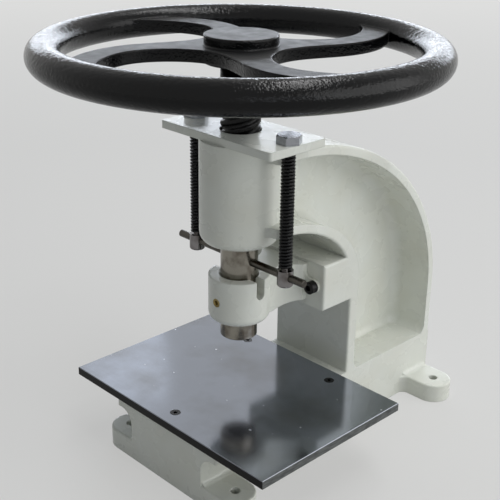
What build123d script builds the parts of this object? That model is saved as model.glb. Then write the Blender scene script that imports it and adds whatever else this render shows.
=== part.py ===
from build123d import *
import os
from math import sqrt

# Hand-wheel screw press, in millimetres.
# The press stands on z = 0, the ram axis is x = 0, y = 0, and the column is behind it at +Y.
# The ram is modelled at the top of its stroke.

# Fits
running_clearance = 0.05
fixed_clearance = 0.02
free_clearance = 0.3

# Frame casting: body and base
body_width = 110.0
back_y = 267.5
base_front_y = -103.5
base_height = 67.0
seat_overhang = 21.0
seat_thickness = 10.0
seat_fillet = 15.0
base_wall = 11.0
base_rib = 14.0
base_cell_radius = 8.0

# Frame casting: four feet
foot_height = 21.7
foot_radius = 21.0
foot_hole_radius = 5.25
foot_reach = 28.5
rear_foot_inset = 2.0
foot_blend = 9.0
foot_top_fillet = 6.0
foot_edge_round = 2.0

# Frame casting: column and the curved neck over the throat
column_face_y = 114.5
column_flange = 12.5
web_thickness = 12.0
rim_thickness = 10.0
neck_centre_y = 23.0
neck_centre_z = 133.0
neck_rise = 211.0
arch_centre_y = 5.0
arch_centre_z = 180.0
arch_reach = 108.0
arch_rise = 77.6
pocket_floor_z = 64.0
pocket_corner = 14.0
pocket_fillet = 12.0
rim_round = 2.5

# Frame casting: pad that carries the ram guide
pad_front_y = 70.2
pad_bottom_z = 157.2
pad_top_z = 209.0

# Frame casting: head and the flange on top of it
head_radius = 41.0
head_bottom_z = 242.3
head_bottom_round = 11.0
head_top_round = 4.5
head_bore_radius = 27.0
flange_bottom_z = 350.0
flange_thickness = 8.0
flange_width = 154.0
flange_front_y = -36.5
flange_rear_y = 38.5
flange_corner = 3.0
neck_end_round = 6.0
neck_head_blend = 7.0

# Table
table_width = 289.0
table_depth = 200.0
table_thickness = 9.0
table_front_overhang = 2.8
seat_rear_inset = 1.7
table_screw_radius = 3.0
table_screw_head_radius = 5.6
table_screw_length = 18.0
table_screw_socket = 4.0
table_screw_socket_depth = 2.2
table_edge_chamfer = 0.6
table_screw_inset = 18.0
seat_screw_inset = 12.5
screw_boss_radius = 9.0
screw_boss_floor = 4.0

# Ram, its bush and its guide
ram_radius = 19.3
ram_bottom_z = 136.7
ram_top_z = 296.0
ram_travel = 33.0
tool_bore_radius = 10.0
tool_bore_depth = 40.0
tool_screw_radius = 3.0
tool_screw_rise = 8.0
tool_screw_stand_out = 0.8
ram_chamfer = 1.0
bush_length = 19.5
guide_radius = 32.0
guide_bottom_z = 156.5
guide_top_z = 206.0
guide_bottom_round = 8.0
guide_top_round = 1.5
guide_lip = 2.0
arm_neck_width = 33.0
arm_foot_width = 62.0
arm_flare_start_y = 34.0
arm_root_bottom_z = 165.0
foot_plate = 7.0
ear_radius = 7.2
ear_thickness = 3.0
ear_fillet = 6.0
oiler_radius = 4.6
oiler_length = 7.0
oiler_dimple_radius = 2.4
oil_hole_radius = 1.5

# Cap screws that hold the guide arm
guide_screw_x = 42.5
guide_screw_z = 183.5
guide_screw_radius = 4.0
guide_screw_length = 28.0
cap_head_radius = 6.8
cap_head_height = 8.0
cap_socket_flats = 6.0
cap_socket_depth = 4.0
cap_head_chamfer = 0.8

# Crossbar and the two return springs
crossbar_radius = 4.0
crossbar_length = 182.0
crossbar_z = 223.0
crossbar_chamfer = 0.8
slot_width = 11.0
spring_x = 65.0
spring_radius = 7.0
spring_wire = 3.0
stub_length = 14.0
collar_radius = 8.2
collar_below_bar = 10.0
collar_above_bar = 7.0
collar_round = 2.0
collar_screw_radius = 2.0
collar_screw_recess = 0.5
hanger_flats = 22.0
hanger_head_height = 8.5
hanger_shank_radius = 7.0
hanger_chamfer = 1.5

# Lead screw, its nut and the thrust joint to the ram
screw_radius = 19.8
screw_end_chamfer = 1.0
spigot_radius = 9.0
spigot_length = 34.0
groove_depth = 2.5
groove_below_ram_top = 18.0
dog_screw_radius = 4.0
dog_tip_radius = 3.0
dog_screw_recess = 1.0
thrust_washer_thickness = 4.0
nut_length = 46.0
nut_roof = 4.0
nut_lock_radius = 3.0
nut_lock_length = 16.0
flange_hole_clearance = 0.8

# Handwheel
wheel_radius = 200.0
rim_width = 32.5
rim_height = 30.5
rim_mid_z = 433.7
hub_radius = 35.7
hub_bottom_z = 423.0
hub_top_z = 449.6
hub_edge = 1.0
spoke_count = 4
spoke_thickness = 12.0
spoke_top_z = 440.0
spoke_root_margin = 12.3
# Edges of a spoke from above: reach to the side, and share of the way out to the rim
spoke_outer_edge = [(50.0, 0.22), (63.5, 0.413), (66.5, 0.61), (57.0, 0.784), (38.0, 0.936)]
spoke_inner_edge = [(-5.0, 0.941), (14.0, 0.865), (34.5, 0.702), (40.7, 0.539), (29.0, 0.381)]
wheel_seat_radius = 14.0
wheel_seat_depth = 20.0
key_width = 8.0
key_height = 7.0
key_length = 16.0
hub_screw_radius = 4.0
hub_screw_length = 12.0
hub_screw_z = 434.0

# Sizes that follow from the ones above
half_body = body_width / 2
half_seat = half_body + seat_overhang
foot_hole_x = half_body + foot_reach
front_hole_y = base_front_y + foot_radius
rear_hole_y = back_y - rear_foot_inset - foot_radius
table_front_y = base_front_y - table_front_overhang
table_rear_y = table_front_y + table_depth
seat_rear_y = table_rear_y - seat_rear_inset
table_front_screw_y = table_front_y + table_screw_inset
table_rear_screw_y = table_rear_y - table_screw_inset
table_rear_screw_x = half_seat - seat_screw_inset
half_web = web_thickness / 2
arm_foot_y = pad_front_y - foot_plate
ear_front_y = pad_front_y - ear_thickness
flange_top_z = flange_bottom_z + flange_thickness
table_top_z = base_height + table_thickness
table_screw_tip_z = table_top_z - table_screw_length
neck_reach = back_y - neck_centre_y
screw_bottom_z = ram_top_z + thrust_washer_thickness
nut_top_z = flange_bottom_z - nut_roof
nut_bottom_z = nut_top_z - nut_length
collar_top_z = crossbar_z + collar_above_bar
collar_bottom_z = crossbar_z - collar_below_bar
slot_bottom_z = crossbar_z - ram_travel - crossbar_radius - free_clearance
groove_z = ram_top_z - groove_below_ram_top
groove_width = 2 * (dog_tip_radius + free_clearance)
stub_radius = spring_radius - spring_wire - running_clearance
rim_mid_radius = wheel_radius - rim_width / 2
spider_radius = hub_radius + spoke_root_margin
far = 2 * wheel_radius

# Overshoot of a cut past the face that it opens, and tolerance for picking corners
over = 1.0
near = 0.01


def block(x0, x1, y0, y1, z0, z1):
    """Box between two corners."""
    box = Box(x1 - x0, y1 - y0, z1 - z0, align=(Align.MIN, Align.MIN, Align.MIN))
    return Pos(x0, y0, z0) * box


def area(u0, u1, v0, v1):
    """Rectangle between two corners of a sketch plane."""
    return Pos(u0, v0) * Rectangle(u1 - u0, v1 - v0, align=(Align.MIN, Align.MIN))


def post(radius, z0, z1, x=0.0, y=0.0):
    """Upright cylinder between two heights."""
    return Pos(x, y, z0) * Cylinder(radius, z1 - z0, align=(Align.CENTER, Align.CENTER, Align.MIN))


def bar(radius, start, end):
    """Cylinder from one point to another."""
    start = Vector(*start)
    end = Vector(*end)
    line = Plane(origin=start, z_dir=end - start)
    cylinder = Cylinder(radius, (end - start).length, align=(Align.CENTER, Align.CENTER, Align.MIN))
    return line * cylinder


def hexagon(plane, flats, length):
    """Hexagonal prism along the normal of a plane, given across its flats."""
    return extrude(plane * RegularPolygon(flats / 2, 6, major_radius=False), length)


def both_sides(shape):
    """The shape with its mirror image in the press's middle plane."""
    return shape + mirror(shape, Plane.YZ)


def side_outline():
    """Column, neck and pad seen from the side, in the YZ plane."""
    neck = Pos(neck_centre_y, neck_centre_z) * Ellipse(neck_reach, neck_rise)
    neck &= area(-head_radius, back_y, base_height, flange_bottom_z)
    neck += area(-head_radius, flange_rear_y, arch_centre_z, flange_bottom_z)
    neck += area(column_face_y, back_y, 0, neck_centre_z)
    arch = Pos(arch_centre_y, arch_centre_z) * Ellipse(arch_reach, arch_rise)
    throat = arch & area(-far, far, pad_top_z, far)
    throat += area(-far, arch_centre_y, pad_top_z, arch_centre_z + arch_rise)
    throat += area(-far, pad_front_y, 0, pad_top_z)
    throat += area(-far, column_face_y, 0, pad_bottom_z)
    return neck - throat


def pocket_outline():
    """Recess in each side of the neck and column, in the YZ plane."""
    wall_y = back_y - rim_thickness
    front_y = column_face_y + column_flange
    inner = Pos(neck_centre_y, neck_centre_z) * Ellipse(wall_y - neck_centre_y, neck_rise - rim_thickness)
    inner &= area(-head_radius - rim_thickness, back_y, neck_centre_z, flange_bottom_z)
    inner += area(front_y, wall_y, pocket_floor_z, neck_centre_z)
    band = front_y - arch_centre_y - arch_reach
    arch = Pos(arch_centre_y, arch_centre_z) * Ellipse(arch_reach + band, arch_rise + rim_thickness)
    kept = arch + area(-far, front_y, 0, arch_centre_z)
    kept += area(-far, arch_centre_y, 0, arch_centre_z + arch_rise + rim_thickness)
    outline = inner - kept
    floor_corners = outline.vertices().group_by(Axis.Y)[0]
    return fillet(floor_corners, pocket_corner)


def pocket():
    """Solid that is cut from the right-hand side to leave the web, with a round inner edge."""
    depth = half_body - half_web + over
    face = Plane.YZ.offset(half_web) * pocket_outline()
    recess = extrude(face, depth)
    web_face = recess.faces().sort_by(Axis.X)[0]
    inner_edges = [e for e in web_face.edges() if e.center().Y > -head_radius]
    return fillet(inner_edges, pocket_fillet)


def neck_plan():
    """The neck seen from above: full width behind the head, blended into the round head."""
    plan = Circle(head_radius) + area(-half_body, half_body, 0, back_y)
    front = [v for v in plan.vertices() if abs(v.Y) < near]
    outer = [v for v in front if abs(v.X) > half_body - near]
    plan = fillet(outer, neck_end_round)
    inner = [v for v in plan.vertices() if abs(v.Y) < near and abs(abs(v.X) - head_radius) < near]
    return fillet(inner, neck_head_blend)


def head():
    """Round head with rounded edges."""
    half = area(0, head_radius, head_bottom_z, flange_bottom_z)
    outer = half.vertices().group_by(Axis.X)[-1].sort_by(Axis.Y)
    half = fillet(outer[0], head_bottom_round)
    top = half.vertices().sort_by(Axis.Y)[-2:].sort_by(Axis.X)[-1]
    half = fillet(top, head_top_round)
    return revolve(Plane.XZ * half, Axis.Z)


def feet_plan():
    """Base and its four round feet seen from above."""
    waist = area(-half_body, half_body, base_front_y, back_y)
    front = Pos(0, front_hole_y) * SlotCenterToCenter(2 * foot_hole_x, 2 * foot_radius)
    front += area(-foot_hole_x, foot_hole_x, base_front_y, front_hole_y)
    rear = Pos(0, rear_hole_y) * SlotCenterToCenter(2 * foot_hole_x, 2 * foot_radius)
    plan = waist + front + rear
    low = front_hole_y + foot_radius
    high = rear_hole_y - foot_radius
    corners = [
        v for v in plan.vertices()
        if abs(abs(v.X) - half_body) < near and low - near < v.Y < high + near
    ]
    return fillet(corners, foot_blend)


def feet():
    """Slab of the four feet, with its top edges rounded beside the body."""
    slab = extrude(feet_plan(), foot_height)
    top_edges = slab.faces().sort_by(Axis.Z)[-1].edges()
    return fillet([e for e in top_edges if abs(e.center().X) > half_body - near], foot_edge_round)


def foot_roots():
    """Rounded roots where the tops of the feet run up into the sides of the base."""
    root_x = half_body + foot_top_fillet
    root_z = foot_height + foot_top_fillet
    root = area(half_body, root_x, foot_height, root_z) - Pos(root_x, root_z) * Circle(foot_top_fillet)
    strip = extrude(Plane.XZ.offset(-back_y) * root, back_y - base_front_y)
    return both_sides(strip & extrude(offset(feet_plan(), -foot_edge_round), root_z))


def base_section():
    """Base and table seat seen from the front, in the XZ plane."""
    section = area(-half_body, half_body, 0, base_height)
    section += area(-half_seat, half_seat, base_height - seat_thickness, base_height)
    corners = [
        v for v in section.vertices()
        if abs(abs(v.X) - half_body) < near and abs(v.Y - base_height + seat_thickness) < near
    ]
    return fillet(corners, seat_fillet)


def base_cells():
    """Hollows cast into the underside, with ribs between them, one under the ram axis."""
    inner_x = half_body - base_wall
    front_bays = [(base_front_y + base_wall, -base_rib / 2), (base_rib / 2, column_face_y - base_rib)]
    rear_bay = (column_face_y, back_y - base_wall)
    ceiling = base_height - base_wall
    cells = []
    for low, high in front_bays:
        cells.append((low, high, ceiling))
    cells.append((*rear_bay, pocket_floor_z - base_wall))
    hollows = Part()
    for low, high, top in cells:
        cell = block(base_rib / 2, inner_x, low, high, -over, top)
        hollows += both_sides(fillet(cell.edges().filter_by(Axis.Z), base_cell_radius))
    return hollows


def table_screw_places():
    """Centres of the three screws that hold the table."""
    return [
        (0.0, table_front_screw_y),
        (table_rear_screw_x, table_rear_screw_y),
        (-table_rear_screw_x, table_rear_screw_y),
    ]


def nut_lock(radius):
    """Place of the screw that locks the nut, half in the nut and half in the head."""
    return post(radius, nut_bottom_z, nut_bottom_z + nut_lock_length, 0, -head_bore_radius)


def guide_screw_shank(x, radius):
    """Shank of a guide screw, from the front of the arm's foot into the pad."""
    start = (x, ear_front_y, guide_screw_z)
    end = (x, ear_front_y + guide_screw_length, guide_screw_z)
    return bar(radius, start, end)


def rim_edges(upper):
    """Edges along the sides of the column, neck and pad, above the base."""
    return [
        edge for edge in upper.edges()
        if abs(abs(edge.center().X) - half_body) < near and edge.center().Z > base_height
        and edge.center().Y > head_radius
    ]


def make_frame_casting():
    """One iron casting: base, feet, column, pad, neck, head and top flange."""
    upper = extrude(Plane.YZ * side_outline(), half_body, both=True)
    upper = fillet(rim_edges(upper), rim_round)
    upper &= extrude(neck_plan(), far)
    upper -= both_sides(pocket())
    upper += head()
    flange = block(
        -flange_width / 2, flange_width / 2, flange_front_y, flange_rear_y, flange_bottom_z, flange_top_z
    )
    upper += fillet(flange.edges().filter_by(Axis.Z), flange_corner)
    seat_length = seat_rear_y - base_front_y
    base = extrude(Plane.XZ.offset(-seat_rear_y) * base_section(), seat_length)
    base += block(-half_body, half_body, seat_rear_y, back_y, 0, base_height)
    base += feet()
    base += foot_roots()
    casting = upper + base - base_cells()
    boss_bottom = table_screw_tip_z - screw_boss_floor
    casting += post(screw_boss_radius, boss_bottom, base_height - over, 0, table_front_screw_y)
    for x in (-foot_hole_x, foot_hole_x):
        for y in (front_hole_y, rear_hole_y):
            casting -= post(foot_hole_radius, -over, foot_height + over, x, y)
    for x, y in table_screw_places():
        casting -= post(table_screw_radius + fixed_clearance, table_screw_tip_z, table_top_z, x, y)
    casting -= post(head_bore_radius + fixed_clearance, head_bottom_z - over, nut_top_z)
    casting -= post(screw_radius + flange_hole_clearance, nut_top_z - over, flange_top_z + over)
    casting -= nut_lock(nut_lock_radius + fixed_clearance)
    for x in (-spring_x, spring_x):
        hole_radius = hanger_shank_radius + fixed_clearance
        casting -= post(hole_radius, flange_bottom_z - over, flange_top_z + over, x)
    for x in (-guide_screw_x, guide_screw_x):
        casting -= guide_screw_shank(x, guide_screw_radius + fixed_clearance)
    return casting


def make_table_plate():
    """Ground steel table with three countersunk holes."""
    half = table_width / 2
    plate = block(-half, half, table_front_y, table_rear_y, base_height, table_top_z)
    plate = chamfer(plate.faces().sort_by(Axis.Z)[-1].edges(), table_edge_chamfer)
    for x, y in table_screw_places():
        plate -= table_screw(x, y, fixed_clearance)
    return plate


def table_screw(x, y, gap=0.0):
    """Countersunk screw, or the hole for it when a gap is given."""
    head_height = table_screw_head_radius - table_screw_radius
    head = Pos(x, y, table_top_z) * Cone(
        table_screw_radius + gap, table_screw_head_radius + gap, head_height,
        align=(Align.CENTER, Align.CENTER, Align.MAX),
    )
    shank = post(table_screw_radius + gap, table_screw_tip_z, table_top_z - head_height / 2, x, y)
    return head + shank


def make_table_screws():
    """The three countersunk screws, with hexagon sockets."""
    screws = []
    for x, y in table_screw_places():
        socket_floor = Pos(x, y, table_top_z - table_screw_socket_depth)
        socket = hexagon(socket_floor, table_screw_socket, table_screw_socket_depth)
        screws.append(table_screw(x, y) - socket)
    return Compound(children=screws)


def make_ram_bush():
    """Bronze bush pressed into the mouth of the head."""
    bush = post(head_bore_radius, head_bottom_z, head_bottom_z + bush_length)
    bush -= post(ram_radius + running_clearance, head_bottom_z - over, head_bottom_z + bush_length + over)
    return bush


def make_screw_nut():
    """Bronze nut of the lead screw, seated against the roof of the head."""
    nut = post(head_bore_radius, nut_bottom_z, nut_top_z)
    nut -= post(screw_radius + running_clearance, nut_bottom_z - over, nut_top_z + over)
    return nut - nut_lock(nut_lock_radius + fixed_clearance)


def make_nut_lock_screw():
    """Grub screw on the joint of nut and head, which keeps the nut from turning."""
    screw = nut_lock(nut_lock_radius)
    socket = hexagon(Pos(0, -head_bore_radius, nut_bottom_z), nut_lock_radius, nut_lock_radius)
    return screw - socket


def arm_outline():
    """Plan of the guide arm, from inside the ring to the front of its foot."""
    neck = arm_neck_width / 2
    foot = arm_foot_width / 2
    right = [
        Line((neck, 0), (neck, arm_flare_start_y)),
        TangentArc((neck, arm_flare_start_y), (foot, arm_foot_y), tangent=(0, 1)),
        Line((foot, arm_foot_y), (foot, pad_front_y)),
    ]
    left = [mirror(piece, Plane.YZ) for piece in right]
    ends = [Line((-neck, 0), (neck, 0)), Line((-foot, pad_front_y), (foot, pad_front_y))]
    return make_face(Curve() + right + left + ends)


def arm_side():
    """Guide arm seen from the side, in the YZ plane, with an underside that rises towards the foot."""
    return make_face(Polyline(
        (0, guide_bottom_z),
        (arm_flare_start_y, guide_bottom_z),
        (arm_foot_y, arm_root_bottom_z),
        (pad_front_y, arm_root_bottom_z),
        (pad_front_y, guide_top_z),
        (0, guide_top_z),
        close=True,
    ))


def ears_outline():
    """Front view of the arm's foot with an ear for a screw on each side."""
    plate = area(-arm_foot_width / 2, arm_foot_width / 2, arm_root_bottom_z, guide_top_z)
    plate += Pos(0, guide_screw_z) * SlotCenterToCenter(2 * guide_screw_x, 2 * ear_radius)
    corners = [
        v for v in plate.vertices()
        if abs(abs(v.X) - arm_foot_width / 2) < near and abs(v.Y - guide_screw_z) < ear_radius + near
    ]
    return fillet(corners, ear_fillet)


def make_guide_arm():
    """Cast guide: a ring round the ram, slotted for the crossbar, on an arm with a screwed foot."""
    ring = post(guide_radius, guide_bottom_z, guide_top_z)
    ring = fillet(ring.edges().sort_by(Axis.Z)[0], guide_bottom_round)
    ring = fillet(ring.edges().sort_by(Axis.Z)[-1], guide_top_round)
    arm = extrude(Plane.XY.offset(guide_bottom_z) * arm_outline(), guide_top_z - guide_bottom_z)
    arm &= extrude(Plane.YZ * arm_side(), half_body, both=True)
    ears = extrude(Plane.XZ.offset(-pad_front_y) * ears_outline(), ear_thickness)
    guide = ring + arm + ears
    bore_radius = ram_radius + running_clearance
    bore = post(bore_radius, guide_bottom_z - over, guide_top_z + over)
    lip = Pos(0, 0, guide_top_z) * Cone(
        bore_radius, bore_radius + guide_lip, guide_lip, align=(Align.CENTER, Align.CENTER, Align.MAX)
    )
    half_slot = slot_width / 2
    slot = block(-far, far, -half_slot, half_slot, slot_bottom_z + half_slot, far)
    slot += bar(half_slot, (-far, 0, slot_bottom_z + half_slot), (far, 0, slot_bottom_z + half_slot))
    guide -= bore + lip + slot
    guide -= bar(oiler_radius + fixed_clearance, *oiler_line(oiler_length))
    guide -= bar(oil_hole_radius, *oiler_line(guide_radius - ram_radius + over))
    for x in (-guide_screw_x, guide_screw_x):
        guide -= guide_screw_shank(x, guide_screw_radius + free_clearance)
    return guide


def oiler_line(depth):
    """End points of a radial line from the front of the ring inwards."""
    z = (guide_bottom_z + guide_top_z) / 2
    return (0, -guide_radius, z), (0, depth - guide_radius, z)


def make_guide_oiler():
    """Brass oiling plug in the front of the ring, with a dimple over its oil hole."""
    plug = bar(oiler_radius, *oiler_line(oiler_length))
    face = Plane(origin=oiler_line(0)[0], z_dir=(0, 1, 0))
    dimple = face * Cone(oiler_dimple_radius, oil_hole_radius, oiler_dimple_radius, align=(
        Align.CENTER, Align.CENTER, Align.MIN))
    return plug - dimple - bar(oil_hole_radius, *oiler_line(oiler_length + over))


def make_guide_screw(x):
    """Socket cap screw through one ear of the arm's foot."""
    front_y = ear_front_y - cap_head_height
    shank = guide_screw_shank(x, guide_screw_radius)
    head = bar(cap_head_radius, (x, front_y, guide_screw_z), (x, ear_front_y, guide_screw_z))
    head = chamfer(head.edges().sort_by(Axis.Y)[0], cap_head_chamfer)
    face = Plane(origin=(x, front_y, guide_screw_z), z_dir=(0, 1, 0))
    return head + shank - hexagon(face, cap_socket_flats, cap_socket_depth)


def make_hanger_bolt(x):
    """Hexagon bolt on the top flange, with a stub below that holds the end coils of a spring."""
    head = hexagon(Pos(x, 0, flange_top_z), hanger_flats, hanger_head_height)
    corner = hanger_flats / sqrt(3)
    crown = post(corner, flange_top_z, flange_top_z + hanger_head_height, x)
    crown = chamfer(crown.edges().sort_by(Axis.Z)[-1], hanger_chamfer)
    shank = post(hanger_shank_radius, flange_bottom_z, flange_top_z, x)
    stub = post(stub_radius, flange_bottom_z - stub_length, flange_bottom_z, x)
    return (head & crown) + shank + stub


def make_spring(x):
    """Envelope of a close-wound return spring, from the collar to the top flange."""
    coil = post(spring_radius, collar_top_z, flange_bottom_z, x)
    return coil - post(spring_radius - spring_wire, collar_top_z - over, flange_bottom_z + over, x)


def make_spring_collar(x):
    """Turned collar on one end of the crossbar, with a stub for the end coils of a spring."""
    collar = post(collar_radius, collar_bottom_z, collar_top_z, x)
    collar = fillet(collar.edges().sort_by(Axis.Z)[0], collar_round)
    collar += post(stub_radius, collar_top_z, collar_top_z + stub_length, x)
    collar -= bar(crossbar_radius + fixed_clearance, (x - far, 0, crossbar_z), (x + far, 0, crossbar_z))
    return collar - post(collar_screw_radius + fixed_clearance, collar_bottom_z - over, crossbar_z, x)


def make_collar_screws():
    """Grub screws that lock the two collars to the crossbar from below."""
    screws = []
    for x in (-spring_x, spring_x):
        top_z = crossbar_z - crossbar_radius
        bottom_z = collar_bottom_z + collar_screw_recess
        screw = post(collar_screw_radius, bottom_z, top_z, x)
        screws.append(screw - hexagon(Pos(x, 0, bottom_z), collar_screw_radius, collar_screw_radius))
    return Compound(children=screws)


def make_crossbar():
    """Round bar through the ram, which carries the collars of the return springs."""
    half = crossbar_length / 2
    rod = bar(crossbar_radius, (-half, 0, crossbar_z), (half, 0, crossbar_z))
    return chamfer(rod.edges().filter_by(GeomType.CIRCLE), crossbar_chamfer)


def tool_screw_line(inner_x):
    """End points of a line from just outside the ram inwards, at the height of the tool clamp screw."""
    z = ram_bottom_z + tool_screw_rise
    return (-ram_radius - tool_screw_stand_out, 0, z), (inner_x, 0, z)


def dog_screw_line(tip_radius_from_axis):
    """End points of a radial line in the front of the ram, at the height of the groove."""
    return (0, dog_screw_recess - ram_radius, groove_z), (0, -tip_radius_from_axis, groove_z)


def make_ram():
    """Round ram with a tool bore below and the thrust joint of the lead screw above."""
    ram = post(ram_radius, ram_bottom_z, ram_top_z)
    ram = chamfer(ram.edges().filter_by(GeomType.CIRCLE), ram_chamfer)
    ram -= post(tool_bore_radius, ram_bottom_z - over, ram_bottom_z + tool_bore_depth)
    spigot_bottom = screw_bottom_z - spigot_length
    ram -= post(spigot_radius + running_clearance, spigot_bottom - over, ram_top_z + over)
    ram -= bar(crossbar_radius + fixed_clearance, (-far, 0, crossbar_z), (far, 0, crossbar_z))
    ram -= bar(tool_screw_radius + fixed_clearance, *tool_screw_line(0))
    groove_wall = (0, groove_depth - spigot_radius, groove_z)
    ram -= bar(dog_screw_radius + fixed_clearance, (0, -far, groove_z), groove_wall)
    return ram


def make_tool_clamp_screw():
    """Grub screw that holds a punch in the ram."""
    screw = bar(tool_screw_radius, *tool_screw_line(-tool_bore_radius))
    face = Plane(origin=tool_screw_line(0)[0], z_dir=(1, 0, 0))
    return screw - hexagon(face, tool_screw_radius, tool_screw_radius)


def make_ram_retaining_screw():
    """Dog-point screw whose tip runs in the groove of the lead screw's spigot."""
    body = bar(dog_screw_radius, *dog_screw_line(spigot_radius + free_clearance))
    tip = bar(dog_tip_radius, *dog_screw_line(spigot_radius - groove_depth + free_clearance))
    return body + tip


def make_thrust_washer():
    """Bronze washer that takes the press load between the lead screw and the ram."""
    washer = post(ram_radius - free_clearance, ram_top_z, screw_bottom_z)
    return washer - post(spigot_radius + free_clearance, ram_top_z - over, screw_bottom_z + over)


def key_block(gap=0.0):
    """The parallel key between the lead screw and the handwheel, or its keyway with a gap."""
    half = key_width / 2 + gap
    x0 = wheel_seat_radius - key_height / 2 - gap
    x1 = wheel_seat_radius + key_height / 2 + gap
    return block(x0, x1, -half, half, hub_bottom_z, hub_bottom_z + key_length + gap)


def make_lead_screw():
    """Lead screw: threaded shaft, keyed seat for the wheel above and grooved spigot below."""
    shaft = post(screw_radius, screw_bottom_z, hub_bottom_z)
    shaft = chamfer(shaft.edges().sort_by(Axis.Z)[0], screw_end_chamfer)
    seat = post(wheel_seat_radius, hub_bottom_z, hub_bottom_z + wheel_seat_depth - free_clearance)
    spigot = post(spigot_radius, screw_bottom_z - spigot_length, screw_bottom_z)
    groove = post(spigot_radius + over, groove_z - groove_width / 2, groove_z + groove_width / 2)
    groove -= post(spigot_radius - groove_depth, groove_z - groove_width, groove_z + groove_width)
    return shaft + seat + spigot - groove - key_block(fixed_clearance)


def spoke_outline():
    """One hooked spoke seen from above, from the hub's centre into the rim."""
    outer_points = [(x, share * rim_mid_radius) for x, share in spoke_outer_edge]
    inner_points = [(x, share * rim_mid_radius) for x, share in spoke_inner_edge]
    outer_edge = Spline((spider_radius, 0), *outer_points)
    inner_edge = Spline(*inner_points, (0, spider_radius))
    return make_face(
        Curve() + [
            outer_edge,
            Line(outer_edge @ 1, inner_edge @ 0),
            inner_edge,
            Line(inner_edge @ 1, (0, 0)),
            Line((0, 0), outer_edge @ 0),
        ]
    )


def make_handwheel():
    """Cast handwheel with a round rim, hooked spokes and a blind hub."""
    spider = Sketch()
    for i in range(spoke_count):
        spider += Rot(0, 0, 360 / spoke_count * i) * spoke_outline()
    spider = extrude(Plane.XY.offset(spoke_top_z - spoke_thickness) * spider, spoke_thickness)
    section = Pos(rim_mid_radius, rim_mid_z) * Ellipse(rim_width / 2, rim_height / 2)
    rim = revolve(Plane.XZ * section, Axis.Z)
    hub = post(hub_radius, hub_bottom_z, hub_top_z)
    hub = fillet(hub.edges().filter_by(GeomType.CIRCLE), hub_edge)
    wheel = rim + spider + hub
    wheel -= post(wheel_seat_radius + fixed_clearance, hub_bottom_z - over, hub_bottom_z + wheel_seat_depth)
    wheel -= key_block(fixed_clearance)
    start = (-spider_radius - over, 0, hub_screw_z)
    return wheel - bar(hub_screw_radius + fixed_clearance, start, (0, 0, hub_screw_z))


def make_wheel_key():
    """Parallel key between the lead screw and the handwheel."""
    return key_block()


def make_hub_set_screw():
    """Grub screw in the hub that bears on the lead screw's seat."""
    start = -wheel_seat_radius - hub_screw_length
    screw = bar(hub_screw_radius, (start, 0, hub_screw_z), (-wheel_seat_radius, 0, hub_screw_z))
    face = Plane(origin=(start, 0, hub_screw_z), z_dir=(1, 0, 0))
    return screw - hexagon(face, hub_screw_radius, hub_screw_radius)


parts = {
    "frame_casting": make_frame_casting(),
    "table_plate": make_table_plate(),
    "table_screws": make_table_screws(),
    "ram_bush": make_ram_bush(),
    "screw_nut": make_screw_nut(),
    "nut_lock_screw": make_nut_lock_screw(),
    "guide_arm": make_guide_arm(),
    "guide_oiler": make_guide_oiler(),
    "guide_screw_left": make_guide_screw(-guide_screw_x),
    "guide_screw_right": make_guide_screw(guide_screw_x),
    "hanger_bolt_left": make_hanger_bolt(-spring_x),
    "hanger_bolt_right": make_hanger_bolt(spring_x),
    "spring_left": make_spring(-spring_x),
    "spring_right": make_spring(spring_x),
    "ram": make_ram(),
    "thrust_washer": make_thrust_washer(),
    "ram_retaining_screw": make_ram_retaining_screw(),
    "tool_clamp_screw": make_tool_clamp_screw(),
    "crossbar": make_crossbar(),
    "spring_collar_left": make_spring_collar(-spring_x),
    "spring_collar_right": make_spring_collar(spring_x),
    "collar_screws": make_collar_screws(),
    "lead_screw": make_lead_screw(),
    "handwheel": make_handwheel(),
    "wheel_key": make_wheel_key(),
    "hub_set_screw": make_hub_set_screw(),
}

os.makedirs("parts", exist_ok=True)
for name, shape in parts.items():
    export_step(shape, f"parts/{name}.step")
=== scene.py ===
import math

import bpy
from mathutils import Matrix, Vector


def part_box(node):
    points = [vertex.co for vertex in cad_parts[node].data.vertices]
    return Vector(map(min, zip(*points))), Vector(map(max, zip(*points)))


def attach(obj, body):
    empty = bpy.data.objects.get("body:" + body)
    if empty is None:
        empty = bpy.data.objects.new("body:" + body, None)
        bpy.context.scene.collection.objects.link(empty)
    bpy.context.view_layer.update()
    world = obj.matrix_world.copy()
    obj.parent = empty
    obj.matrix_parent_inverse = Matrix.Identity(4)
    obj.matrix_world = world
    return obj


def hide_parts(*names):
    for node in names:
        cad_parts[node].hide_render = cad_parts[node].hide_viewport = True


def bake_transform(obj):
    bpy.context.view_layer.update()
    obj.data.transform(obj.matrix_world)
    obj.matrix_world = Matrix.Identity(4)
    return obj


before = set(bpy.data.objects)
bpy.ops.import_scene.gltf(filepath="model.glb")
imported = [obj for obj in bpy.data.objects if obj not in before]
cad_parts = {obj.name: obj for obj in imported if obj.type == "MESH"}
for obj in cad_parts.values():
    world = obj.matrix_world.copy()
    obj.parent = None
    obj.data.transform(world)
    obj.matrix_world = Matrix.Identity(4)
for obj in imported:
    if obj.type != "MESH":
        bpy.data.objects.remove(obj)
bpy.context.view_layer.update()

MM = 0.001

# Camera at the photograph's viewpoint: metres, degrees, and millimetres for the lens and sensor
camera_place = Vector((0.6694, -0.6407, 0.6170))
camera_azimuth = 45.59
camera_elevation = 22.62
camera_roll = 0.806
camera_lens = 70.98
camera_sensor = 36.0
camera_reach = 50.0

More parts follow.
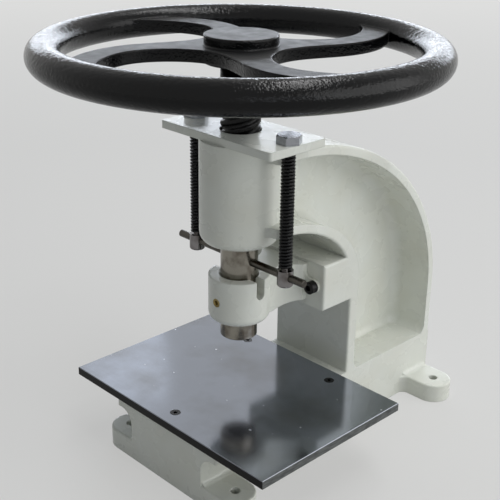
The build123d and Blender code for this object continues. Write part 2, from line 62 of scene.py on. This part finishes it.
# Colours as they appear on the object, in sRGB
cream = (0.865, 0.875, 0.845)
cream_shade = (0.845, 0.85, 0.81)
floor_white = (0.88, 0.88, 0.875)
floor_lit = (0.78, 0.78, 0.775)
sky_white = (0.95, 0.97, 0.98)
enamel_black = (0.02, 0.022, 0.027)
oxide_black = (0.055, 0.055, 0.06)
oil_black = (0.05, 0.05, 0.053)
table_grey = (0.60, 0.62, 0.66)
table_stain = (0.53, 0.54, 0.56)
table_speck = (0.76, 0.77, 0.79)
table_end = (0.46, 0.47, 0.47)
table_end_dark = (0.30, 0.31, 0.31)
table_scale = (0.11, 0.11, 0.11)
ram_grey = (0.53, 0.515, 0.48)
ram_brown = (0.34, 0.31, 0.275)
bar_grey = (0.31, 0.30, 0.28)
bar_dark = (0.20, 0.19, 0.17)
turned_grey = (0.50, 0.49, 0.49)
turned_dark = (0.36, 0.34, 0.33)
plated_grey = (0.60, 0.61, 0.63)
plated_dull = (0.46, 0.47, 0.48)
brass_yellow = (0.60, 0.53, 0.33)
brass_dull = (0.34, 0.29, 0.16)
bronze_brown = (0.62, 0.47, 0.30)
bronze_dark = (0.45, 0.33, 0.20)

# Parts of a noise texture's range: nearly all of it, and its higher and highest values
whole_noise = (0.3, 0.7)
patches = (0.35, 0.7)
stains = (0.45, 0.75)
specks = (0.775, 0.82)

# How far a surface faces up or sideways where its finish changes to that of the sides or the ends
side_facing = (0.5, 0.9)
flat_top_facing = (0.8, 0.97)

# Handwheel: where its rim begins, and how its flat tops differ from the pebbled rest
rim_start = (160 * MM, 168 * MM)
enamel_specular = 0.2
flat_pebbling = 0.12
flat_roughness = 0.46
pebbled_roughness = 0.12

# How much longer than wide the tool lines are on turned bars, in the ground table and at its sawn ends
turned_stretch = 40
ground_stretch = 60
sawn_stretch = 6

# Roughness of the table's black sides, and how much a speck adds to its ground top
scale_roughness = 0.45
speck_roughness = 0.3

# Rounded edges in the materials, and the angle in degrees above which a piece's own edges stay sharp
edge_samples = 6
sharp_angle = 30

# Stage and light
floor_width = 60.0
floor_own_paleness = 0.6
floor_shadow_reach = 1.2
floor_fade_reach = 4.0
sky_strength = 0.24
press_middle = (0.0, 0.1, 0.2)
wheel_middle = (0.0, 0.0, 0.44)
window_blue = (0.84, 0.90, 1.0)

# Lead screw thread: three starts, right-handed
screw_lead = 30 * MM
screw_starts = 3
screw_crest_radius = 19.8 * MM
screw_root_radius = 17.7 * MM
screw_crest_end = 0.38
screw_root_start = 0.72
screw_collar_length = 14 * MM
screw_run_out = 4 * MM
screw_row = 0.5 * MM
screw_sides = 96
screw_shaft_low = 300 * MM
screw_shaft_high = 423 * MM
screw_seat_radius = 14 * MM
spigot_radius = 9 * MM
groove_radius = 6.5 * MM
groove_low = 274.7 * MM
groove_high = 281.3 * MM

# Return springs
spring_wire_radius = 1.5 * MM
spring_turns = 34.5
spring_steps = 26
spring_wire_sides = 8


def linear(color):
    """sRGB colour as linear values with alpha."""
    values = [c / 12.92 if c <= 0.04045 else ((c + 0.055) / 1.055) ** 2.4 for c in color]
    return (*values, 1.0)


class Finish:
    """A material, with short calls for the textures that a surface needs."""

    def __init__(self, name, color, roughness, metallic=0.0):
        self.material = bpy.data.materials.new(name)
        self.material.use_nodes = True
        self.tree = self.material.node_tree
        self.shader = self.tree.nodes["Principled BSDF"]
        self.shader.inputs["Base Color"].default_value = linear(color)
        self.shader.inputs["Roughness"].default_value = roughness
        self.shader.inputs["Metallic"].default_value = metallic
        self.place = self.node("ShaderNodeTexCoord").outputs["Object"]

    def node(self, kind, **settings):
        made = self.tree.nodes.new(kind)
        for key, value in settings.items():
            setattr(made, key, value)
        return made

    def feed(self, socket, value):
        """Sets a socket to a value, or links another socket to it."""
        if isinstance(value, bpy.types.NodeSocket):
            self.tree.links.new(value, socket)
        else:
            socket.default_value = value

    def maths(self, operation, first, second=0.0):
        made = self.node("ShaderNodeMath", operation=operation)
        self.feed(made.inputs[0], first)
        self.feed(made.inputs[1], second)
        return made.outputs[0]

    def noise(self, size, detail=2.0, stretch=(1, 1, 1), seed=0.0):
        """Noise whose grains are about size across, in metres, drawn out by stretch."""
        mapping = self.node("ShaderNodeMapping")
        mapping.inputs["Scale"].default_value = [1 / (size * s) for s in stretch]
        mapping.inputs["Location"].default_value = (seed, seed, seed)
        self.feed(mapping.inputs["Vector"], self.place)
        made = self.node("ShaderNodeTexNoise")
        made.inputs["Scale"].default_value = 1.0
        made.inputs["Detail"].default_value = detail
        self.feed(made.inputs["Vector"], mapping.outputs["Vector"])
        return made.outputs["Fac"]

    def spread(self, value, source, target=(0.0, 1.0)):
        """The value, carried from the source range to the target range and held at its ends."""
        made = self.node("ShaderNodeMapRange", clamp=True)
        for socket, number in zip(made.inputs, (value, *source, *target)):
            self.feed(socket, number)
        return made.outputs[0]

    def mix(self, factor, first, second):
        """Colour between two others, each a colour or a socket."""
        made = self.node("ShaderNodeMix", data_type="RGBA")
        first_color, second_color, mixed_color = made.inputs[6], made.inputs[7], made.outputs[2]
        self.feed(made.inputs["Factor"], factor)
        for socket, value in ((first_color, first), (second_color, second)):
            self.feed(socket, value if isinstance(value, bpy.types.NodeSocket) else linear(value))
        return mixed_color

    def color(self, value):
        self.feed(self.shader.inputs["Base Color"], value)

    def roughness(self, value):
        self.feed(self.shader.inputs["Roughness"], value)

    def normal(self, value):
        self.feed(self.shader.inputs["Normal"], value)

    def soft_edges(self, radius):
        """Normal that rounds the edges within the radius."""
        made = self.node("ShaderNodeBevel", samples=edge_samples)
        made.inputs["Radius"].default_value = radius
        return made.outputs["Normal"]

    def bump(self, height, depth, normal, strength=1.0):
        """Normal of the surface raised by height times depth, in metres."""
        made = self.node("ShaderNodeBump")
        made.inputs["Distance"].default_value = depth
        self.feed(made.inputs["Strength"], strength)
        self.feed(made.inputs["Height"], height)
        self.feed(made.inputs["Normal"], normal)
        return made.outputs["Normal"]

    def facing(self, axis):
        """How far the surface faces along an axis, from -1 to 1."""
        split = self.node("ShaderNodeSeparateXYZ")
        self.feed(split.inputs[0], self.node("ShaderNodeNewGeometry").outputs["Normal"])
        return split.outputs[axis]

    def from_axis(self):
        """Distance from the upright line through the origin, in metres."""
        flat = self.node("ShaderNodeVectorMath", operation="MULTIPLY")
        self.feed(flat.inputs[0], self.place)
        flat.inputs[1].default_value = (1, 1, 0)
        length = self.node("ShaderNodeVectorMath", operation="LENGTH")
        self.feed(length.inputs[0], flat.outputs[0])
        return length.outputs["Value"]


def paint_finish():
    """Thick cream paint over a filled casting: soft waves, fine orange peel and rounded edges."""
    paint = Finish("cream_paint", cream, 0.3)
    tint = paint.noise(50 * MM, detail=3)
    paint.color(paint.mix(paint.spread(tint, patches), cream, cream_shade))
    gloss = paint.noise(30 * MM, detail=3, seed=3)
    paint.roughness(paint.spread(gloss, whole_noise, (0.22, 0.34)))
    waves = paint.noise(28 * MM, detail=1, seed=5)
    peel = paint.noise(2.2 * MM, detail=2, seed=7)
    wavy = paint.bump(waves, 0.35 * MM, paint.soft_edges(1.6 * MM))
    paint.normal(paint.bump(peel, 0.03 * MM, wavy))
    return paint.material


def enamel_finish():
    """Black gloss enamel over raw cast iron: pebbled on the rim and the sides, smooth on the flat tops."""
    enamel = Finish("black_enamel", enamel_black, 0.2)
    enamel.shader.inputs["Specular IOR Level"].default_value = enamel_specular
    on_rim = enamel.spread(enamel.from_axis(), rim_start)
    on_side = enamel.spread(enamel.facing("Z"), flat_top_facing, (1.0, flat_pebbling))
    pebbled = enamel.maths("MAXIMUM", on_rim, on_side)
    gloss = enamel.spread(pebbled, (flat_pebbling, 1.0), (flat_roughness, pebbled_roughness))
    uneven = enamel.spread(enamel.noise(12 * MM, detail=3), whole_noise, (-0.05, 0.05))
    enamel.roughness(enamel.maths("ADD", uneven, gloss))
    pebbles = enamel.noise(3.4 * MM, detail=2)
    grain = enamel.noise(1.9 * MM, detail=1, seed=4)
    pebbly = enamel.bump(pebbles, 0.42 * MM, enamel.soft_edges(3 * MM), pebbled)
    enamel.normal(enamel.bump(grain, 0.3 * MM, pebbly, pebbled))
    return enamel.material


def table_finish():
    """Surface-ground steel with fine lines along it, sawn ends, and black mill scale front and back."""
    steel = Finish("ground_steel", table_grey, 0.2, metallic=1.0)
    lines = steel.noise(0.9 * MM, detail=3, stretch=(ground_stretch, 1, 1))
    stain = steel.noise(60 * MM, detail=4, seed=2)
    speck = steel.spread(steel.noise(6 * MM, detail=1, seed=11), specks)
    side = steel.spread(steel.facing("Z"), side_facing, (1.0, 0.0))
    end = steel.spread(steel.maths("ABSOLUTE", steel.facing("X")), side_facing)

    top = steel.mix(steel.spread(stain, stains), table_grey, table_stain)
    top = steel.mix(speck, top, table_speck)
    saw_marks = steel.noise(1.5 * MM, detail=4, stretch=(1, sawn_stretch, 1), seed=9)
    sawn = steel.mix(steel.spread(saw_marks, patches), table_end, table_end_dark)
    steel.color(steel.mix(side, top, steel.mix(end, table_scale, sawn)))

    ground = steel.spread(stain, whole_noise, (0.1, 0.15))
    ground = steel.maths("ADD", ground, steel.spread(lines, whole_noise, (-0.01, 0.02)))
    ground = steel.maths("ADD", ground, steel.maths("MULTIPLY", speck, speck_roughness))
    steel.roughness(steel.maths("MAXIMUM", ground, steel.maths("MULTIPLY", side, scale_roughness)))

    lined = steel.bump(lines, 0.004 * MM, steel.soft_edges(0.1 * MM))
    scale_grain = steel.noise(4 * MM, detail=4, seed=8)
    steel.normal(steel.bump(scale_grain, 0.12 * MM, lined, side))
    return steel.material


def turned_finish(name, color, dark, roughness, axis, line=0.35 * MM):
    """Turned or ground round bar, with tool lines across its axis and a few darker places."""
    steel = Finish(name, color, roughness, metallic=1.0)
    stretch = [turned_stretch, turned_stretch, turned_stretch]
    stretch[axis] = 1
    lines = steel.noise(line, stretch=stretch)
    dark_places = steel.noise(12 * MM, detail=4, seed=6)
    steel.color(steel.mix(steel.spread(dark_places, stains), color, dark))
    steel.roughness(steel.spread(lines, whole_noise, (roughness - 0.06, roughness + 0.08)))
    steel.normal(steel.bump(lines, 0.03 * MM, steel.soft_edges(0.3 * MM)))
    return steel.material


def black_finish(name, color, roughness):
    """Black oxide on steel, slightly uneven and oily."""
    black = Finish(name, color, roughness, metallic=0.6)
    oil = black.noise(3 * MM, detail=3)
    black.roughness(black.spread(oil, whole_noise, (roughness - 0.08, roughness + 0.1)))
    black.normal(black.bump(black.noise(0.6 * MM), 0.02 * MM, black.soft_edges(0.25 * MM)))
    return black.material


def mesh_piece(name, verts, faces, material, smooth=True):
    """Object from points and faces."""
    mesh = bpy.data.meshes.new(name)
    mesh.from_pydata(verts, [], faces)
    mesh.validate()
    mesh.materials.append(material)
    if smooth:
        mesh.shade_smooth()
    piece = bpy.data.objects.new(name, mesh)
    bpy.context.scene.collection.objects.link(piece)
    return piece


def rings(rows, sides):
    """Faces between rows of points that each go once round, with a cap at both ends."""
    faces = [tuple(reversed(range(sides)))]
    for row in range(rows - 1):
        low = row * sides
        for side in range(sides):
            after = (side + 1) % sides
            faces.append((low + side, low + after, low + sides + after, low + sides + side))
    last = (rows - 1) * sides
    faces.append(tuple(last + side for side in range(sides)))
    return faces


def thread_height(angle, z):
    """Share of the thread's depth at a place: flat crests, narrower flat roots and sloping flanks."""
    pitch = screw_lead / screw_starts
    phase = (z - screw_lead * angle / math.tau) / pitch % 1.0
    from_crest = abs(phase - 0.5) * 2
    flank = screw_root_start - screw_crest_end
    return max(0.0, min(1.0, (screw_root_start - from_crest) / flank))


def make_lead_screw():
    """Lead screw with its thread cut, in place of the plain shaft."""
    low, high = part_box("lead_screw")
    thread_top = screw_shaft_high - screw_collar_length
    spigot = [
        (low.z, spigot_radius),
        (groove_low, spigot_radius),
        (groove_low, groove_radius),
        (groove_high, groove_radius),
        (groove_high, spigot_radius),
        (screw_shaft_low, spigot_radius),
    ]
    collar_and_seat = [
        (thread_top, screw_crest_radius),
        (screw_shaft_high, screw_crest_radius),
        (screw_shaft_high, screw_seat_radius),
        (high.z, screw_seat_radius),
    ]
    # Each row is a height with the root and the crest radius there
    rows = [(z, radius, radius) for z, radius in spigot]
    count = round((thread_top - screw_shaft_low) / screw_row)
    for i in range(count + 1):
        z = screw_shaft_low + (thread_top - screw_shaft_low) * i / count
        run_out = min(1.0, (thread_top - z) / screw_run_out)
        depth = (screw_crest_radius - screw_root_radius) * run_out
        rows.append((z, screw_crest_radius - depth, screw_crest_radius))
    rows += [(z, radius, radius) for z, radius in collar_and_seat]
    verts = []
    for z, root, crest in rows:
        for side in range(screw_sides):
            angle = math.tau * side / screw_sides
            radius = root + (crest - root) * thread_height(angle, z)
            verts.append((radius * math.cos(angle), radius * math.sin(angle), z))
    screw = mesh_piece("threaded_lead_screw", verts, rings(len(rows), screw_sides), finishes["oil_black"])
    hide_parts("lead_screw")
    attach(screw, "wheel_body")


def make_spring(side):
    """Close-wound tension spring between the top flange and a collar."""
    node = f"spring_{side}"
    low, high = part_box(node)
    middle_x = (low.x + high.x) / 2
    coil_radius = (high.x - low.x) / 2 - spring_wire_radius
    bottom = low.z + spring_wire_radius
    rise = high.z - low.z - 2 * spring_wire_radius
    steps = round(spring_turns * spring_steps)
    verts = []
    for step in range(steps + 1):
        share = step / steps
        angle = math.tau * spring_turns * share
        outward = Vector((math.cos(angle), math.sin(angle), 0))
        centre = Vector((middle_x, 0, bottom + rise * share)) + outward * coil_radius
        for k in range(spring_wire_sides):
            turn = math.tau * k / spring_wire_sides
            offset = outward * math.cos(turn) + Vector((0, 0, 1)) * math.sin(turn)
            verts.append(centre + offset * spring_wire_radius)
    faces = [tuple(reversed(face)) for face in rings(steps + 1, spring_wire_sides)]
    spring = mesh_piece(f"coil_{side}", verts, faces, finishes["spring_black"])
    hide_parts(node)
    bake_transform(spring)


def dress(name, material):
    """Gives a carried-over node its finish and smooth shading, with its real edges kept sharp."""
    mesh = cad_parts[name].data
    mesh.materials.clear()
    mesh.materials.append(material)
    mesh.shade_smooth()
    mesh.set_sharp_from_angle(angle=math.radians(sharp_angle))


finishes = {
    "paint": paint_finish(),
    "enamel": enamel_finish(),
    "table": table_finish(),
    "ram": turned_finish("ram_steel", ram_grey, ram_brown, 0.18, 2, 1.1 * MM),
    "bar": turned_finish("bar_steel", bar_grey, bar_dark, 0.24, 0),
    "collar": turned_finish("turned_steel", turned_grey, turned_dark, 0.1, 2),
    "plated": turned_finish("plated_steel", plated_grey, plated_dull, 0.2, 2),
    "brass": turned_finish("turned_brass", brass_yellow, brass_dull, 0.3, 1),
    "bronze": turned_finish("machined_bronze", bronze_brown, bronze_dark, 0.35, 2),
    "oil_black": black_finish("oily_black_steel", oil_black, 0.3),
    "spring_black": black_finish("spring_black_steel", oxide_black, 0.28),
    "screw_black": black_finish("black_oxide_steel", oxide_black, 0.36),
}

node_finishes = {
    "frame_casting": "paint",
    "guide_arm": "paint",
    "table_plate": "table",
    "table_screws": "oil_black",
    "ram_bush": "bronze",
    "screw_nut": "bronze",
    "nut_lock_screw": "screw_black",
    "guide_oiler": "brass",
    "guide_screw_left": "screw_black",
    "guide_screw_right": "screw_black",
    "hanger_bolt_left": "plated",
    "hanger_bolt_right": "plated",
    "spring_left": "spring_black",
    "spring_right": "spring_black",
    "ram": "ram",
    "thrust_washer": "bronze",
    "ram_retaining_screw": "screw_black",
    "tool_clamp_screw": "screw_black",
    "crossbar": "bar",
    "spring_collar_left": "collar",
    "spring_collar_right": "collar",
    "collar_screws": "screw_black",
    "lead_screw": "oil_black",
    "handwheel": "enamel",
    "wheel_key": "collar",
    "hub_set_screw": "screw_black",
}
for node_name, finish_name in node_finishes.items():
    dress(node_name, finishes[finish_name])

make_lead_screw()
make_spring("left")
make_spring("right")


# Stage, lamps and camera

def seen_directly(tree):
    """1 for the camera's rays and for what gloss and glass show of the background, else 0."""
    path = tree.nodes.new("ShaderNodeLightPath")
    seen = path.outputs["Is Camera Ray"]
    for name in ("Is Glossy Ray", "Is Transmission Ray"):
        either = tree.nodes.new("ShaderNodeMath")
        either.operation = "MAXIMUM"
        tree.links.new(seen, either.inputs[0])
        tree.links.new(path.outputs[name], either.inputs[1])
        seen = either.outputs[0]
    return seen


def make_stage():
    """Wide pale floor that keeps the shadow of the press and fades into the background far off."""
    finish = Finish("stage_white", floor_lit, 0.85)
    pale = finish.node("ShaderNodeEmission")
    pale.inputs["Color"].default_value = linear(floor_white)
    fade = (floor_shadow_reach, floor_fade_reach)
    paleness = finish.spread(finish.from_axis(), fade, (floor_own_paleness, 1.0))
    mixed = finish.node("ShaderNodeMixShader")
    finish.feed(mixed.inputs[0], finish.maths("MULTIPLY", seen_directly(finish.tree), paleness))
    finish.feed(mixed.inputs[1], finish.shader.outputs[0])
    finish.feed(mixed.inputs[2], pale.outputs[0])
    finish.feed(finish.tree.nodes["Material Output"].inputs["Surface"], mixed.outputs[0])
    half = floor_width / 2
    verts = [(-half, -half, 0), (half, -half, 0), (half, half, 0), (-half, half, 0)]
    floor = mesh_piece("floor", verts, [(0, 1, 2, 3)], finish.material, smooth=False)


def make_world():
    """Plain light from all round, with a pale background for the camera, gloss and glass."""
    world = bpy.data.worlds.new("studio")
    bpy.context.scene.world = world
    world.use_nodes = True
    tree = world.node_tree
    light = tree.nodes["Background"]
    light.inputs["Color"].default_value = linear(sky_white)
    light.inputs["Strength"].default_value = sky_strength
    pale = tree.nodes.new("ShaderNodeBackground")
    pale.inputs["Color"].default_value = linear(floor_white)
    pale.inputs["Strength"].default_value = 1.0
    mixed = tree.nodes.new("ShaderNodeMixShader")
    tree.links.new(seen_directly(tree), mixed.inputs[0])
    tree.links.new(light.outputs[0], mixed.inputs[1])
    tree.links.new(pale.outputs[0], mixed.inputs[2])
    tree.links.new(mixed.outputs[0], tree.nodes["World Output"].inputs["Surface"])


def area_light(name, place, target, size, power, color=(1, 1, 1)):
    """Soft rectangular lamp that points at a target: its width and height in metres, its power in watts."""
    data = bpy.data.lights.new(name, "AREA")
    data.shape = "RECTANGLE"
    data.size, data.size_y = size
    data.energy = power
    data.color = color
    lamp = bpy.data.objects.new(name, data)
    bpy.context.scene.collection.objects.link(lamp)
    lamp.location = place
    lamp.rotation_euler = (Vector(target) - Vector(place)).to_track_quat("-Z", "Y").to_euler()


def make_camera():
    """Camera with the photograph's viewpoint, framing and slight roll."""
    azimuth = math.radians(camera_azimuth)
    elevation = math.radians(camera_elevation)
    roll = math.radians(camera_roll)
    back = Vector((
        math.sin(azimuth) * math.cos(elevation),
        -math.cos(azimuth) * math.cos(elevation),
        math.sin(elevation),
    ))
    right = (-back).cross(Vector((0, 0, 1))).normalized()
    up = right.cross(-back)
    x_axis = right * math.cos(roll) + up * math.sin(roll)
    y_axis = up * math.cos(roll) - right * math.sin(roll)
    data = bpy.data.cameras.new("camera")
    data.lens = camera_lens
    data.sensor_width = camera_sensor
    data.clip_end = camera_reach
    camera = bpy.data.objects.new("camera", data)
    bpy.context.scene.collection.objects.link(camera)
    turn = Matrix((x_axis, y_axis, back)).transposed().to_4x4()
    camera.matrix_world = Matrix.Translation(camera_place) @ turn
    bpy.context.scene.camera = camera


make_stage()
make_world()
area_light("overhead", (0.3, 0.5, 2.4), press_middle, size=(2.4, 0.32), power=24)
area_light("right_window", (2.5, 1.2, 1.2), press_middle, size=(3.4, 2.4), power=48)
area_light("low_window", (2.85, -0.9, 1.02), wheel_middle, size=(2.6, 0.12), power=5, color=window_blue)
area_light("back_windows", (-3.2, 3.7, 1.35), wheel_middle, size=(6.5, 0.8), power=92, color=window_blue)
area_light("small_window", (-1.95, 1.28, 1.32), press_middle, size=(0.3, 0.32), power=0.2, color=window_blue)
make_camera()
bpy.context.scene.view_settings.view_transform = "Standard"
